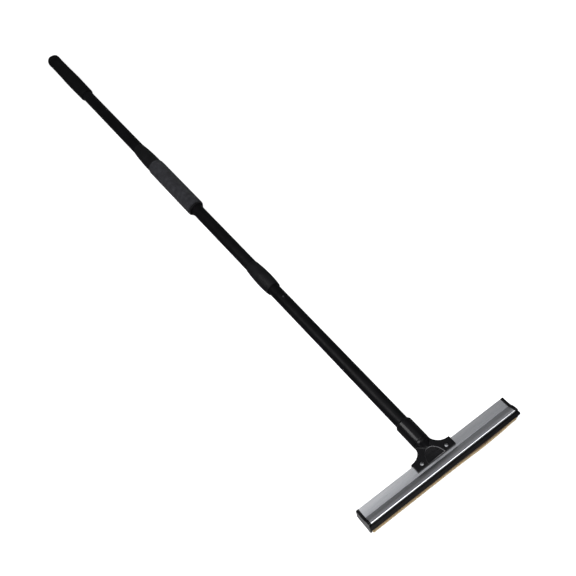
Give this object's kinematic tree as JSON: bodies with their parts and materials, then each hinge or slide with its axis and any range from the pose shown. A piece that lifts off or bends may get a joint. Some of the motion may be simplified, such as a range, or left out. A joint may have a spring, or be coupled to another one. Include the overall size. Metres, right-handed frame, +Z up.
{
  "type": "window cleaning squeegee",
  "caption": "Telescopic window squeegee: aluminium channel with rubber blade and netted scrubber sponge, clamped to a pole of sliding tubes with twist locks, foam grip and hanging eye.",
  "frame": {"origin": "middle of the squeegee's length and of its blade, on the surface that it lies on face up", "axes": "+X along the blade, +Y along the pole towards the user's end, +Z up, out of the face with the channel"},
  "size_m": [0.317, 1.582, 0.0384],
  "materials": {
    "grip_rubber": "satin",
    "tube_coating": "satin powder coat",
    "black_plastic": "fine grain",
    "grip_foam": "closed-cell foam, matte",
    "white_nylon": "smooth",
    "plated_steel": "zinc plated",
    "spring_steel": "satin",
    "gloss_plastic": "semi-gloss",
    "panel_plastic": "smooth",
    "channel_aluminium": "brushed along its length",
    "blade_rubber": "smooth",
    "sponge": "open-cell sponge",
    "netting": "knitted net"
  },
  "bodies": {
    "handle": {"end_cap": "grip_rubber", "end_grip": "grip_rubber", "upper_tube": "tube_coating", "grip_ferrule": "black_plastic", "foam_grip": "grip_foam", "grip_end_bush": "black_plastic"},
    "expander": {"expander_sleeve": "black_plastic"},
    "middle": {"expander_cone": "black_plastic", "middle_tube": "tube_coating", "lock_collet": "black_plastic"},
    "collar": {"lock_collar": "black_plastic"},
    "glide": {"glide_ring": "white_nylon"},
    "lower": {"glide_plug": "black_plastic", "lower_tube": "tube_coating", "socket_sleeve": "gloss_plastic", "thread_tip": "plated_steel", "yoke_front": "gloss_plastic", "yoke_back": "gloss_plastic", "yoke_panel": "panel_plastic", "clamp_screws": "plated_steel", "clamp_nuts": "plated_steel", "blade_channel": "channel_aluminium", "channel_cap_left": "gloss_plastic", "channel_cap_right": "gloss_plastic", "rubber_blade": "blade_rubber", "sponge_carrier": "black_plastic", "carrier_screws": "plated_steel", "scrubber_sponge": "sponge", "sponge_net": "netting", "button_spring": "spring_steel"},
    "button": {"release_button": "spring_steel"}
  },
  "joints": [
    {"name": "mid_slide", "type": "slide", "parent": "handle", "child": "expander", "axis": [0, 1, 0], "range_m": [-0.35, 0.217]},
    {"name": "mid_twist", "type": "hinge", "parent": "expander", "child": "middle", "pos_m": [0, 0.51695, 0.0192], "axis": [0, 1, 0], "range_deg": [0, 90]},
    {"name": "collar_twist", "type": "hinge", "parent": "middle", "child": "collar", "pos_m": [0, -0.25205, 0.0192], "axis": [0, 1, 0], "range_deg": [0, 120]},
    {"name": "lower_slide", "type": "slide", "parent": "middle", "child": "glide", "axis": [0, 1, 0], "range_m": [-0.2, 0.385]},
    {"name": "lower_turn", "type": "hinge", "parent": "glide", "child": "lower", "pos_m": [0, 0.07195, 0.0192], "axis": [0, 1, 0], "range_deg": [-180, 180]},
    {"name": "button_press", "type": "slide", "parent": "lower", "child": "button", "axis": [0, 0, -1], "range_m": [0, 0.002], "stiffness_N_per_m": 1500, "springref_m": -0.001, "deforming": ["button_spring"]}
  ]
}
